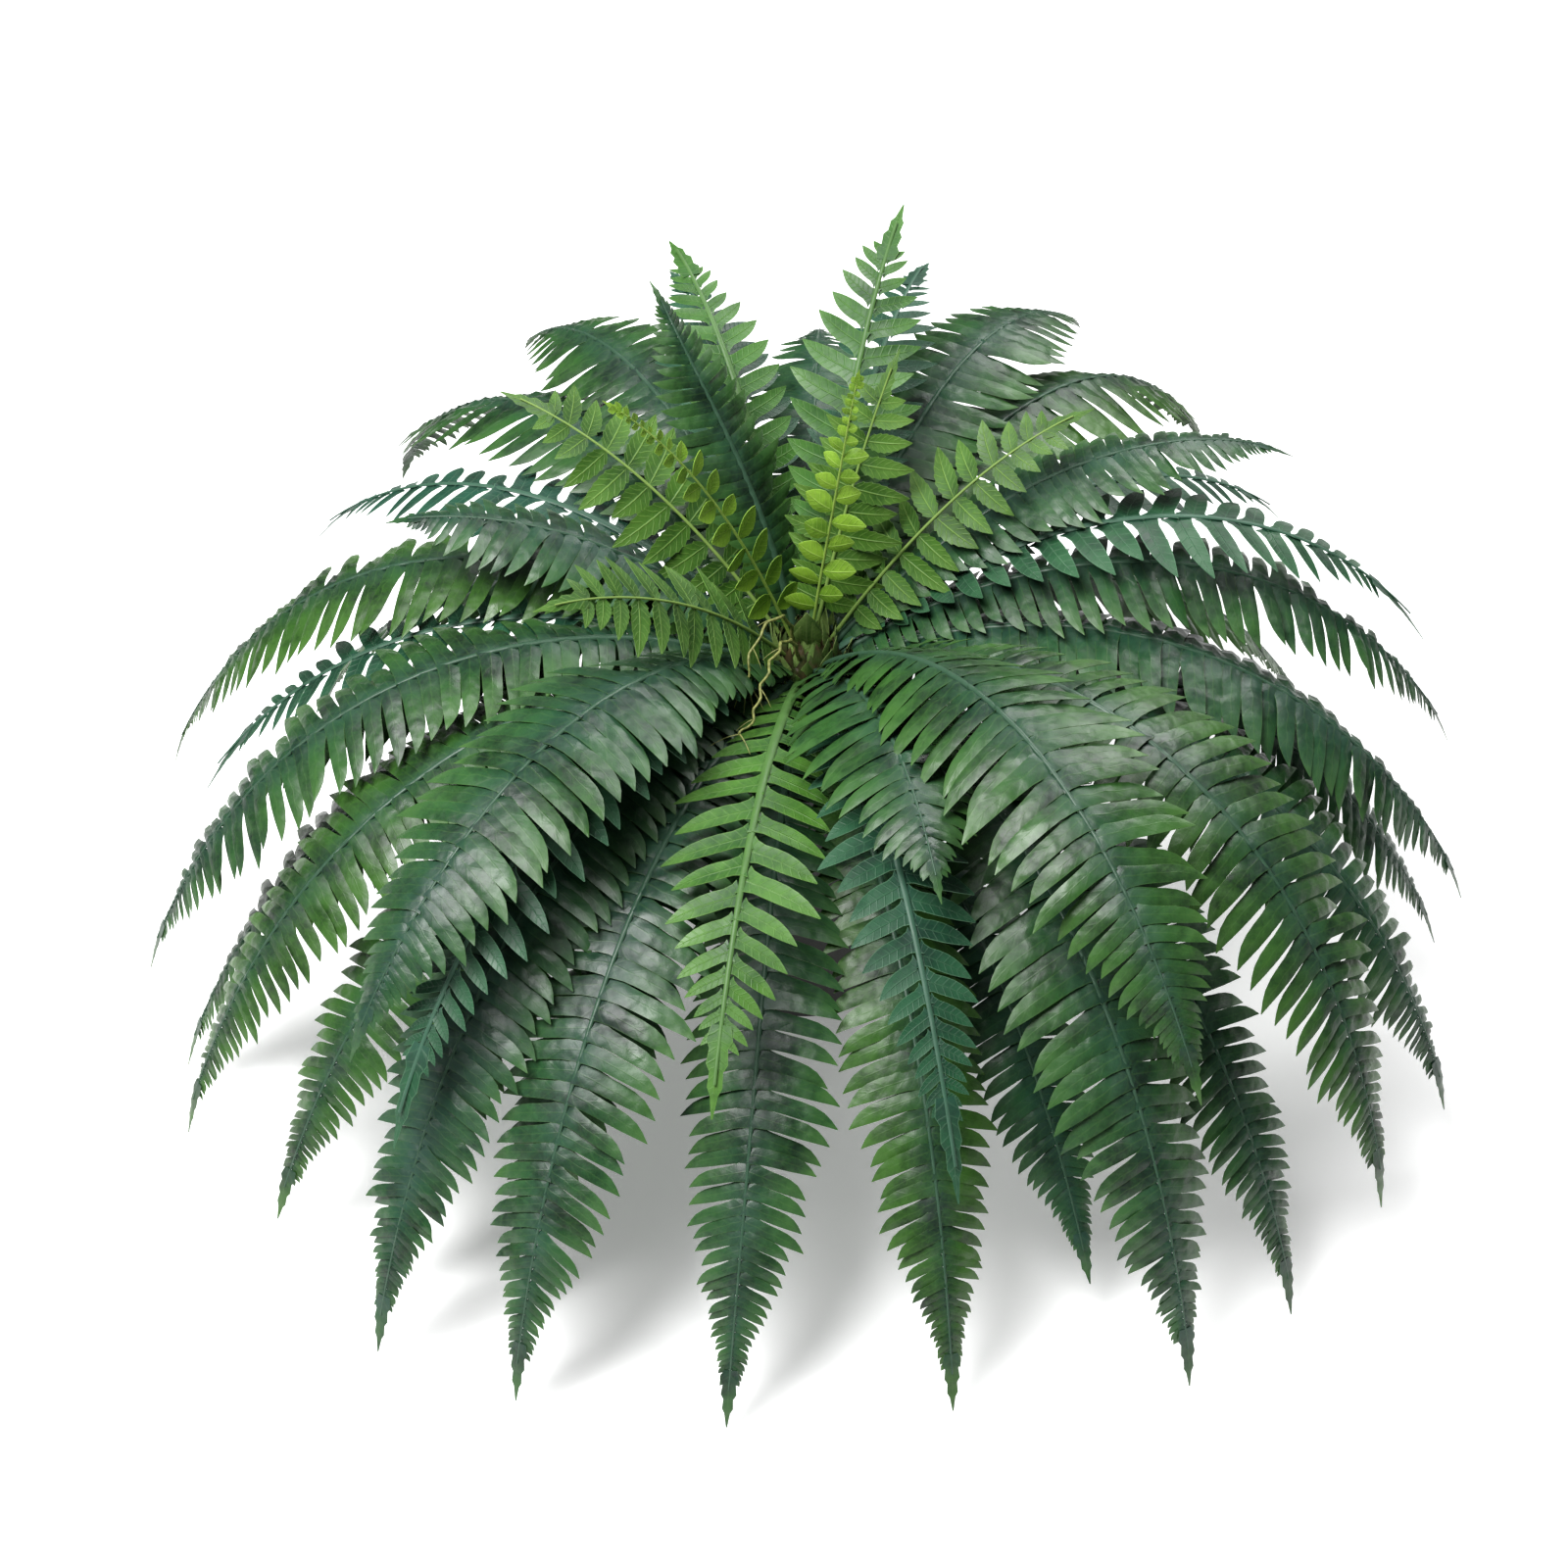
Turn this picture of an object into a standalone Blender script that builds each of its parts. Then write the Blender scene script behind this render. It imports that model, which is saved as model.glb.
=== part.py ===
"""Potted fern, modelled in metres with +Z up.

The origin is the middle of the pot's flat underside, so the pot stands on z = 0. Every frond
springs from a rounded crown just above the soil and arches outwards in its own upright plane.
"""

import math

import bmesh
import bpy
from mathutils import Vector

# Pot
POT_HEIGHT = 0.236
POT_RIM_RADIUS = 0.090
POT_BASE_RADIUS = 0.066
POT_WALL = 0.003
POT_FLOOR = 0.004
RIM_BAND_HEIGHT = 0.022
RIM_BAND_STEP = 0.004
RIM_ROUNDING = 0.0012
CHAMFER = 0.002
ROUND_SIDES = 40
DRAIN_HOLES = 6
DRAIN_HOLE_RADIUS = 0.005
DRAIN_CIRCLE_RADIUS = 0.038

# Soil and crown. TOUCH_GAP keeps solids that rest on each other just apart.
TOUCH_GAP = 0.0003
SOIL_DEPTH_BELOW_RIM = 0.016
SOIL_MOUND = 0.006
SOIL_EDGE_SINK = 0.002
CROWN_CENTRE_HEIGHT = 0.288
CROWN_RADIUS = 0.034
CROWN_FOOT_RADIUS = 0.036
CROWN_WAIST_RADIUS = 0.032
CROWN_WAIST_RISE = 0.008
CROWN_DOME_START_DEGREES = -35.0
CROWN_DOME_STEPS = 8
CROWN_SIDES = 24
STEM_START_RADIUS = 0.0355

# How fronds bend: at DROOP_REACH from the plant's middle a frond's slope has fallen by
# DROOP_DEGREES, and by DROOP_GAIN more for each degree that it was launched above level
DROOP_DEGREES = 72.0
DROOP_GAIN = 0.75
DROOP_REACH = 0.50
DROOP_POWER = 1.3
STEEPEST_DEGREES = -88.0
SUBSTEPS = 6

# Blade thickness, measured from its middle plane
STEM_HALF_WIDTH = 0.0024
STEM_HALF_THICKNESS = 0.0018
TIP_HALF_WIDTH = 0.0010
TIP_HALF_THICKNESS = 0.0006

# For each kind of frond: half width, the length from which a frond is fully wide (shorter ones are
# narrower), number of lengthwise steps, how far the edges hang below the midrib as a share of the
# half width, and the outline as (share of length, share of half width)
KINDS = {
    "broad": {
        "half_width": 0.055,
        "full_length": 0.500,
        "steps": 20,
        "edge_drop": 0.12,
        "outline": [(0.00, 0.00), (0.12, 0.00), (0.20, 0.55), (0.32, 0.90), (0.48, 1.00),
                    (0.66, 0.90), (0.80, 0.62), (0.90, 0.25), (1.00, 0.00)],
    },
    "strap": {
        "half_width": 0.046,
        "full_length": 0.450,
        "steps": 18,
        "edge_drop": 0.10,
        "outline": [(0.00, 0.00), (0.18, 0.00), (0.27, 0.75), (0.45, 1.00), (0.65, 0.85),
                    (0.80, 0.45), (0.90, 0.20), (1.00, 0.00)],
    },
    "leaflet": {
        "half_width": 0.040,
        "full_length": 0.300,
        "steps": 14,
        "edge_drop": 0.08,
        "outline": [(0.00, 0.00), (0.22, 0.00), (0.34, 0.85), (0.55, 1.00), (0.75, 0.75),
                    (0.90, 0.35), (1.00, 0.00)],
    },
    "button": {
        "half_width": 0.022,
        "full_length": 0.300,
        "steps": 14,
        "edge_drop": 0.05,
        "outline": [(0.00, 0.00), (0.14, 0.00), (0.24, 0.90), (0.40, 1.00), (0.62, 0.70),
                    (0.80, 0.30), (1.00, 0.00)],
    },
    "sheath": {
        "half_width": 0.012,
        "full_length": 0.045,
        "steps": 8,
        "edge_drop": 0.0,
        "outline": [(0.00, 0.30), (0.30, 1.00), (0.70, 0.55), (1.00, 0.00)],
    },
}

# Every frond as azimuth from +X towards +Y and launch above level, both in degrees, then length,
# then width as a share of its kind's. Sprays have a fifth value: how far the blade is turned about
# its own midrib, in degrees.
BROAD_FRONDS = [
    # front
    (264, 13, 0.60, 0.90), (282, 12, 0.59, 0.90), (243, 3, 0.50, 0.90), (297, 3, 0.50, 0.85),
    (229, 8, 0.54, 0.85), (247, 21, 0.64, 1.05), (235, 24, 0.66, 0.90), (300, 27, 0.68, 1.10),
    (311, 22, 0.65, 0.90), (285, 38, 0.35, 1.25),
    # sides that lean forward
    (219, 15, 0.59, 0.90), (209, 25, 0.63, 0.95), (197, 14, 0.59, 1.00), (231, 40, 0.54, 1.15),
    (301, 44, 0.57, 1.20), (319, 38, 0.69, 1.20), (336, 25, 0.64, 1.05), (318, -4, 0.28, 0.90),
    (354, 19, 0.57, 1.00),
    # sides
    (350, 31, 0.58, 1.05), (1, 38, 0.55, 1.05), (16, 49, 0.40, 0.90), (195, 30, 0.60, 1.05),
    (185, 21, 0.47, 0.95), (170, 33, 0.59, 1.05), (173, 43, 0.31, 1.10),
    # back
    (133, 40, 0.55, 1.10), (122, 46, 0.47, 1.05), (47, 43, 0.54, 1.15), (59, 48, 0.46, 1.05),
    (131, 69, 0.28, 0.90), (88, 41, 0.38, 0.95), (74, 18, 0.52, 0.95), (109, 17, 0.52, 0.95),
    (150, 14, 0.52, 0.95), (28, 16, 0.52, 0.95),
]
STRAP_FRONDS = [
    (153, 36, 0.45, 1.00), (28, 37, 0.44, 1.00), (181, 27, 0.49, 1.00), (4, 44, 0.51, 1.10),
    (235, 34, 0.55, 1.05), (282, 30, 0.51, 0.95), (108, 52, 0.36, 1.00), (73, 53, 0.36, 1.00),
]
LIGHT_FRONDS = [
    (71, 67, 0.33, 1.15), (111, 58, 0.345, 1.00), (179, 17, 0.42, 0.95), (261, 26, 0.43, 1.15),
]
LEAFLET_SPRAYS = [
    (46, 74, 0.22, 1.10, 28), (15, 57, 0.26, 1.05, 32), (158, 55, 0.28, 1.10, -34),
    (223, 52, 0.27, 1.05, -36),
]
BUTTON_SPRAYS = [
    (207, 71, 0.29, 1.05, -65), (300, 80, 0.28, 1.00, -45),
]
SHEATHS = [
    (270, 72, 0.045, 1.00),
]

# Aerial roots: thin round threads that leave the crown's top, arch over and hang
ROOT_RADIUS = 0.0016
ROOT_POINT_SPACING = 0.004
AERIAL_ROOTS = [
    [(-0.0083, -0.0144, 0.3196), (-0.012, -0.026, 0.350), (-0.019, -0.042, 0.371),
     (-0.031, -0.060, 0.374), (-0.041, -0.077, 0.362), (-0.044, -0.088, 0.345)],
    [(-0.0057, -0.0211, 0.3160), (-0.010, -0.040, 0.346), (-0.018, -0.062, 0.361),
     (-0.028, -0.088, 0.358), (-0.035, -0.112, 0.350), (-0.040, -0.134, 0.345),
     (-0.049, -0.150, 0.344)],
]


def clear_scene():
    for old in list(bpy.data.objects):
        bpy.data.objects.remove(old, do_unlink=True)


def make_material(name, colour, roughness):
    material = bpy.data.materials.new(name)
    material.use_nodes = True
    shader = material.node_tree.nodes["Principled BSDF"]
    shader.inputs["Base Color"].default_value = (*colour, 1.0)
    shader.inputs["Roughness"].default_value = roughness
    return material


def add_object(name, mesh_builder, material, smooth_degrees=40.0):
    """Turn a finished bmesh into a named object with outward faces and smooth shading."""
    bmesh.ops.recalc_face_normals(mesh_builder, faces=mesh_builder.faces)
    mesh = bpy.data.meshes.new(name)
    mesh_builder.to_mesh(mesh)
    mesh_builder.free()
    mesh.shade_smooth()
    mesh.set_sharp_from_angle(angle=math.radians(smooth_degrees))
    made = bpy.data.objects.new(name, mesh)
    bpy.context.scene.collection.objects.link(made)
    mesh.materials.append(material)
    return made


def add_turned_solid(name, profile, material, sides=ROUND_SIDES):
    """Spin a closed (radius, height) profile about Z. Points on the axis are merged."""
    build = bmesh.new()
    corners = [build.verts.new((radius, 0.0, height)) for radius, height in profile]
    edges = [build.edges.new((a, b)) for a, b in zip(corners, corners[1:])]
    bmesh.ops.spin(
        build, geom=corners + edges, cent=(0, 0, 0), axis=(0, 0, 1),
        angle=math.tau, steps=sides, use_merge=False, use_duplicate=False,
    )
    bmesh.ops.remove_doubles(build, verts=build.verts, dist=0.00005)
    return add_object(name, build, material)


def pot_profile():
    """Pot wall from the axis at the underside, up the outside, over the rim and down inside."""
    band_foot = POT_HEIGHT - RIM_BAND_HEIGHT
    wall_radius = POT_RIM_RADIUS - RIM_BAND_STEP
    return [
        (0.0, 0.0),
        (POT_BASE_RADIUS - CHAMFER, 0.0),
        (POT_BASE_RADIUS, CHAMFER),
        (wall_radius, band_foot),
        (POT_RIM_RADIUS, band_foot + CHAMFER),
        (POT_RIM_RADIUS, POT_HEIGHT - RIM_ROUNDING),
        (POT_RIM_RADIUS - RIM_ROUNDING, POT_HEIGHT),
        (wall_radius - POT_WALL + RIM_ROUNDING, POT_HEIGHT),
        (wall_radius - POT_WALL, POT_HEIGHT - RIM_ROUNDING),
        (wall_radius - POT_WALL, band_foot),
        (POT_BASE_RADIUS - POT_WALL, POT_FLOOR),
        (0.0, POT_FLOOR),
    ]


def make_pot():
    charcoal = make_material("pot_plastic", (0.035, 0.035, 0.033), 0.55)
    pot = add_turned_solid("pot", pot_profile(), charcoal)
    for index in range(DRAIN_HOLES):
        angle = math.tau * index / DRAIN_HOLES
        build = bmesh.new()
        bmesh.ops.create_cone(
            build, cap_ends=True, segments=12, radius1=DRAIN_HOLE_RADIUS,
            radius2=DRAIN_HOLE_RADIUS, depth=POT_FLOOR * 4,
        )
        cutter = add_object(f"drain_cutter_{index + 1}", build, charcoal)
        cutter.location = (
            DRAIN_CIRCLE_RADIUS * math.cos(angle),
            DRAIN_CIRCLE_RADIUS * math.sin(angle),
            POT_FLOOR / 2,
        )
        cutter.hide_render = True
        cutter.display_type = "WIRE"
        drain = pot.modifiers.new(f"drain_{index + 1}", "BOOLEAN")
        drain.operation = "DIFFERENCE"
        drain.object = cutter


def soil_surface_height():
    return POT_HEIGHT - SOIL_DEPTH_BELOW_RIM


def make_soil():
    """Soil fills the pot's taper to just below the rim, with a low mound in the middle."""
    band_foot = POT_HEIGHT - RIM_BAND_HEIGHT
    inner_top = POT_RIM_RADIUS - RIM_BAND_STEP - POT_WALL - TOUCH_GAP
    inner_base = POT_BASE_RADIUS - POT_WALL - TOUCH_GAP
    surface = soil_surface_height()
    profile = [
        (0.0, POT_FLOOR + TOUCH_GAP),
        (inner_base - POT_WALL / 3, POT_FLOOR + TOUCH_GAP),
        (inner_top, band_foot),
        (inner_top, surface - SOIL_EDGE_SINK),
        (inner_top * 0.8, surface + SOIL_MOUND / 3),
        (inner_top * 0.5, surface + SOIL_MOUND),
        (0.0, surface + SOIL_MOUND),
    ]
    add_turned_solid("soil", profile, make_material("soil_mix", (0.030, 0.020, 0.014), 0.95))


def make_crown():
    """The knot of stem bases: a foot on the soil that rounds into a dome."""
    foot = soil_surface_height() + SOIL_MOUND + TOUCH_GAP
    profile = [
        (0.0, foot),
        (CROWN_FOOT_RADIUS, foot),
        (CROWN_WAIST_RADIUS, foot + CROWN_WAIST_RISE),
    ]
    dome_turn = 90.0 - CROWN_DOME_START_DEGREES
    for step in range(1, CROWN_DOME_STEPS):
        angle = math.radians(CROWN_DOME_START_DEGREES + dome_turn * step / CROWN_DOME_STEPS)
        profile.append((
            CROWN_RADIUS * math.cos(angle),
            CROWN_CENTRE_HEIGHT + CROWN_RADIUS * math.sin(angle),
        ))
    profile.append((0.0, CROWN_CENTRE_HEIGHT + CROWN_RADIUS))
    husk_brown = make_material("crown_husk", (0.100, 0.085, 0.045), 0.80)
    add_turned_solid("crown", profile, husk_brown, sides=CROWN_SIDES)


def share_at(outline, along):
    """Read an outline of (share of length, share of half width), straight between its points."""
    for (start, low), (end, high) in zip(outline, outline[1:]):
        if along <= end:
            step = (along - start) / (end - start)
            return low + (high - low) * step
    return outline[-1][1]


def frond_spine(azimuth, launch, length, steps):
    """Frames (point, slope angle) along a frond. All fronds share one droop rule, so they nest."""
    angle = math.radians(launch)
    reach = STEM_START_RADIUS * math.cos(angle)
    height = CROWN_CENTRE_HEIGHT + STEM_START_RADIUS * math.sin(angle)
    outward = Vector((math.cos(math.radians(azimuth)), math.sin(math.radians(azimuth)), 0.0))
    full_fall = math.radians(DROOP_DEGREES + DROOP_GAIN * launch)
    frames = []
    small_step = length / (steps * SUBSTEPS)
    for count in range(steps * SUBSTEPS + 1):
        fall = full_fall * (reach / DROOP_REACH) ** DROOP_POWER
        slope = max(angle - fall, math.radians(STEEPEST_DEGREES))
        if count % SUBSTEPS == 0:
            frames.append((outward * reach + Vector((0.0, 0.0, height)), slope))
        reach += small_step * math.cos(slope)
        height += small_step * math.sin(slope)
    return outward, frames


def make_frond(name, kind, material, azimuth, launch, length, width, turn=0.0):
    """Loft a thin four-cornered section along the spine: edge, midrib top, edge, midrib underside."""
    shape = KINDS[kind]
    outward, frames = frond_spine(azimuth, launch, length, shape["steps"])
    level_side = Vector((-outward.y, outward.x, 0.0))
    turn_cos = math.cos(math.radians(turn))
    turn_sin = math.sin(math.radians(turn))
    widest = shape["half_width"] * width * min(1.0, length / shape["full_length"]) ** 0.5
    build = bmesh.new()
    rings = []
    for index, (point, slope) in enumerate(frames):
        along = index / shape["steps"]
        share = share_at(shape["outline"], along)
        stem = STEM_HALF_WIDTH + (TIP_HALF_WIDTH - STEM_HALF_WIDTH) * along
        half_width = stem + widest * share
        thickness = STEM_HALF_THICKNESS + (TIP_HALF_THICKNESS - STEM_HALF_THICKNESS) * along
        plumb_up = Vector((0.0, 0.0, math.cos(slope))) - outward * math.sin(slope)
        across = level_side * turn_cos + plumb_up * turn_sin
        upward = plumb_up * turn_cos - level_side * turn_sin
        drop = shape["edge_drop"] * widest * share
        corners = (
            point - across * half_width - upward * drop,
            point + upward * thickness,
            point + across * half_width - upward * drop,
            point - upward * thickness,
        )
        rings.append([build.verts.new(corner) for corner in corners])
    for near, far in zip(rings, rings[1:]):
        for corner in range(4):
            following = (corner + 1) % 4
            build.faces.new((near[corner], near[following], far[following], far[corner]))
    build.faces.new(rings[0])
    build.faces.new(rings[-1])
    return add_object(name, build, material, smooth_degrees=60.0)


def make_fronds(prefix, kind, rows, material):
    for number, row in enumerate(rows, start=1):
        make_frond(f"{prefix}_{number:02d}", kind, material, *row)


def smooth_route(corners, spacing):
    """Points at about the given spacing on a Catmull-Rom curve through the corners."""
    known = [Vector(corner) for corner in corners]
    padded = [2 * known[0] - known[1], *known, 2 * known[-1] - known[-2]]
    route = []
    for before, start, end, after in zip(padded, padded[1:], padded[2:], padded[3:]):
        count = max(1, round((end - start).length / spacing))
        for step in range(count):
            t = step / count
            route.append(0.5 * (
                2 * start + (end - before) * t
                + (2 * before - 5 * start + 4 * end - after) * t ** 2
                + (3 * start - before - 3 * end + after) * t ** 3
            ))
    return [*route, known[-1]]


def make_aerial_root(name, corners, material):
    route = smooth_route(corners, ROOT_POINT_SPACING)
    curve = bpy.data.curves.new(name, "CURVE")
    curve.dimensions = "3D"
    curve.bevel_depth = ROOT_RADIUS
    curve.bevel_resolution = 2
    curve.use_fill_caps = True
    spline = curve.splines.new("POLY")
    spline.points.add(len(route) - 1)
    for point, place in zip(spline.points, route):
        point.co = (*place, 1.0)
    root = bpy.data.objects.new(name, curve)
    bpy.context.scene.collection.objects.link(root)
    curve.materials.append(material)


def main():
    clear_scene()
    make_pot()
    make_soil()
    make_crown()
    dark_green = make_material("broad_leaf", (0.045, 0.105, 0.055), 0.45)
    blue_green = make_material("strap_leaf", (0.035, 0.095, 0.065), 0.50)
    fresh_green = make_material("light_leaf", (0.110, 0.230, 0.070), 0.50)
    leaflet_green = make_material("leaflet_leaf", (0.130, 0.240, 0.050), 0.55)
    button_green = make_material("button_leaf", (0.200, 0.330, 0.070), 0.55)
    make_fronds("broad_frond", "broad", BROAD_FRONDS, dark_green)
    make_fronds("strap_frond", "strap", STRAP_FRONDS, blue_green)
    make_fronds("light_frond", "strap", LIGHT_FRONDS, fresh_green)
    make_fronds("leaflet_spray", "leaflet", LEAFLET_SPRAYS, leaflet_green)
    make_fronds("button_spray", "button", BUTTON_SPRAYS, button_green)
    make_fronds("sheath", "sheath", SHEATHS, fresh_green)
    olive = make_material("aerial_root", (0.160, 0.190, 0.050), 0.60)
    for number, corners in enumerate(AERIAL_ROOTS, start=1):
        make_aerial_root(f"aerial_root_{number:02d}", corners, olive)


main()
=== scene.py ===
# %% [markdown]
# # A full fern in a plain pot
# The plant is a bush of some fifty fronds that spring from one crown and arch out on all sides. A
# frond is a midrib with leaflets down both edges. Each leaflet is a small shaped sheet, so we shape
# one for each kind of frond, copy it down a flat frond, and bend that frond along the
# curve that the imported model gives it. Then come the crown, the aerial roots, the soil and the pot.

import math

import bmesh
import bpy
import numpy as np
from mathutils import Matrix, Vector


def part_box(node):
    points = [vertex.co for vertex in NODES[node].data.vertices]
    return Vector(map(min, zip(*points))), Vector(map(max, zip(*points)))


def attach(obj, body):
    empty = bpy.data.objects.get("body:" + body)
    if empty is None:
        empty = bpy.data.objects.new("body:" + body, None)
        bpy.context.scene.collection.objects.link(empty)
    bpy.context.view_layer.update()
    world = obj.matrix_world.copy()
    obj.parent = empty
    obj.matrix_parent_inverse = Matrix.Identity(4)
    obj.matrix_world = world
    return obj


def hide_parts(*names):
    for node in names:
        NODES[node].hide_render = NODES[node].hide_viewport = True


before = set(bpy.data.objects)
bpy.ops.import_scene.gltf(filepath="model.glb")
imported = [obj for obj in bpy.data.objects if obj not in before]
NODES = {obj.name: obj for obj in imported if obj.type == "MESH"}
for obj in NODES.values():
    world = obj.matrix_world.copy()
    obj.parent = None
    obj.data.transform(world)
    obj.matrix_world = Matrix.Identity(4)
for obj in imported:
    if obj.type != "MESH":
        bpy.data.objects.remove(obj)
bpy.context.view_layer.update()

# %% [markdown]
# ## Camera
# The viewer stands in front of the pot and looks down on the crown. A long lens from a few metres
# away keeps the near fronds from looking much bigger than the far ones.

# %% Aim the camera at the crown
LOOK_DOWN = math.radians(38.0)
VIEW_DISTANCE = 2.6
LENS_MM = 79.0
AIM_RIGHT = -0.017
AIM_UP = -0.083

crown_low, crown_high = (Vector(corner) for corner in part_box("crown"))
CROWN_RADIUS = 0.034
CROWN_CENTRE = Vector((0.0, 0.0, crown_high.z - CROWN_RADIUS))

view_back = Vector((0.0, -math.cos(LOOK_DOWN), math.sin(LOOK_DOWN)))
view_up = Vector((0.0, math.sin(LOOK_DOWN), math.cos(LOOK_DOWN)))
aim = CROWN_CENTRE + Vector((AIM_RIGHT, 0.0, 0.0)) + view_up * AIM_UP
camera_data = bpy.data.cameras.new("camera")
camera_data.lens = LENS_MM
camera = bpy.data.objects.new("camera", camera_data)
bpy.context.scene.collection.objects.link(camera)
camera.location = aim + view_back * VIEW_DISTANCE
camera.rotation_euler = (-view_back).to_track_quat("-Z", "Y").to_euler()
bpy.context.scene.camera = camera
print("camera at", tuple(round(c, 3) for c in camera.location))

# %% [markdown]
# ## Studio
# A plant on a pale floor under soft light: the sky gives an even fill that leaves the inside of the
# bush dark, and two large lamps above give the waxy leaves their grey highlights.

# %% Light the set
FILL_STRENGTH = 0.12
BACKDROP_STRENGTH = 0.95
LAMPS = {
    "key": {"place": (-1.2, -0.9, 3.0), "size": 1.9, "watts": 200.0},
    "back": {"place": (1.1, 1.9, 2.6), "size": 2.0, "watts": 90.0},
}

world = bpy.data.worlds.new("studio")
world.use_nodes = True
sky = world.node_tree.nodes["Background"]
sky.inputs["Color"].default_value = (1.0, 1.0, 1.0, 1.0)
seen = world.node_tree.nodes.new("ShaderNodeLightPath")
brightness = world.node_tree.nodes.new("ShaderNodeMapRange")
brightness.inputs["To Min"].default_value = FILL_STRENGTH
brightness.inputs["To Max"].default_value = BACKDROP_STRENGTH
world.node_tree.links.new(seen.outputs["Is Camera Ray"], brightness.inputs["Value"])
world.node_tree.links.new(brightness.outputs["Result"], sky.inputs["Strength"])
bpy.context.scene.world = world
bpy.context.scene.view_settings.view_transform = "Standard"

for lamp_name, lamp in LAMPS.items():
    lamp_data = bpy.data.lights.new(lamp_name, "AREA")
    lamp_data.shape = "DISK"
    lamp_data.size = lamp["size"]
    lamp_data.energy = lamp["watts"]
    lamp_object = bpy.data.objects.new(lamp_name, lamp_data)
    bpy.context.scene.collection.objects.link(lamp_object)
    lamp_object.location = lamp["place"]
    towards = CROWN_CENTRE - Vector(lamp["place"])
    lamp_object.rotation_euler = towards.to_track_quat("-Z", "Y").to_euler()

# %% [markdown]
# ## Node helpers
# A material is a small tree of shader nodes. These helpers add one node at a time and wire its
# inputs, so each material below reads as a list of what is laid over what.

# %% Write materials as short lists of nodes
def new_material(name):
    """A material, its tree and shader, and the place on the object that its patterns read."""
    material = bpy.data.materials.new(name)
    material.use_nodes = True
    tree = material.node_tree
    where = tree.nodes.new("ShaderNodeTexCoord").outputs["Object"]
    return material, tree, tree.nodes["Principled BSDF"], where


def feed(tree, node, inputs):
    """Give a node's inputs, by socket name or number, their links, colours or plain numbers."""
    for key, value in inputs.items():
        socket = node.inputs[key]
        if isinstance(value, bpy.types.NodeSocket):
            tree.links.new(value, socket)
        elif isinstance(value, tuple) and len(value) == 3 and socket.type == "RGBA":
            socket.default_value = (*value, 1.0)
        else:
            socket.default_value = value


def add_node(tree, kind, inputs=None, **settings):
    """Add a shader node. Settings are its own options, such as the kind of sum it does."""
    made = tree.nodes.new(f"ShaderNode{kind}")
    for option, value in settings.items():
        setattr(made, option, value)
    feed(tree, made, inputs or {})
    return made


def maths(tree, operation, first, second=0.0):
    return add_node(tree, "Math", {0: first, 1: second}, operation=operation).outputs[0]


def times(tree, first, second):
    return maths(tree, "MULTIPLY", first, second)


def ramp(tree, value, low, high, result_low=0.0, result_high=1.0):
    """A straight ramp that starts at low and ends at high, and is level beyond them."""
    limits = {"From Min": low, "From Max": high, "To Min": result_low, "To Max": result_high}
    return add_node(tree, "MapRange", {"Value": value, **limits}).outputs["Result"]


def blend_colours(tree, share, first, second):
    return add_node(tree, "Mix", {0: share, 6: first, 7: second}, data_type="RGBA").outputs[2]


def noise(tree, where, scale, detail=3.0, roughness=0.55, stretch=None):
    """Cloudy noise. A stretch squeezes the pattern along X, Y and Z."""
    if stretch:
        where = add_node(tree, "Mapping", {"Vector": where, "Scale": stretch}).outputs["Vector"]
    pattern = {"Vector": where, "Scale": scale, "Detail": detail, "Roughness": roughness}
    return add_node(tree, "TexNoise", pattern).outputs["Fac"]


def attribute(tree, name):
    return add_node(tree, "Attribute", attribute_name=name).outputs["Fac"]


def bump(tree, height, depth, strength=1.0, over=None):
    """Raise the surface by height times depth, in metres, on top of an earlier bump if given."""
    made = add_node(tree, "Bump", {"Height": height, "Distance": depth, "Strength": strength})
    if over is not None:
        feed(tree, made, {"Normal": over})
    return made.outputs["Normal"]


# %% [markdown]
# ## Floor
# The floor is a wide pale sheet with a faint painted glow of its own, though it is no lamp, which
# lightens the shadow under the bush so that it stays pale. It is part of the set and not of the plant.

# %% Lay the floor
FLOOR_SIZE = 14.0
FLOOR_PAINTED_GLOW = 0.26


def deselect_all():
    bpy.ops.object.select_all(action="DESELECT")


deselect_all()
bpy.ops.mesh.primitive_plane_add(size=FLOOR_SIZE, location=(0.0, 0.0, 0.0))
floor = bpy.context.object
floor.name = "studio_floor"
floor_material, tree, shader, where = new_material("studio_floor")
pale = blend_colours(tree, noise(tree, where, 3.0), (0.93, 0.93, 0.93), (0.96, 0.96, 0.96))
# painted light: the floor's emission glows though it is no lamp, and lightens the shadow under the bush
feed(tree, shader, {
    "Base Color": pale, "Roughness": 0.9, "Specular IOR Level": 0.2,
    "Emission Color": (1.0, 1.0, 1.0), "Emission Strength": FLOOR_PAINTED_GLOW})
floor.data.materials.append(floor_material)
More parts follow.
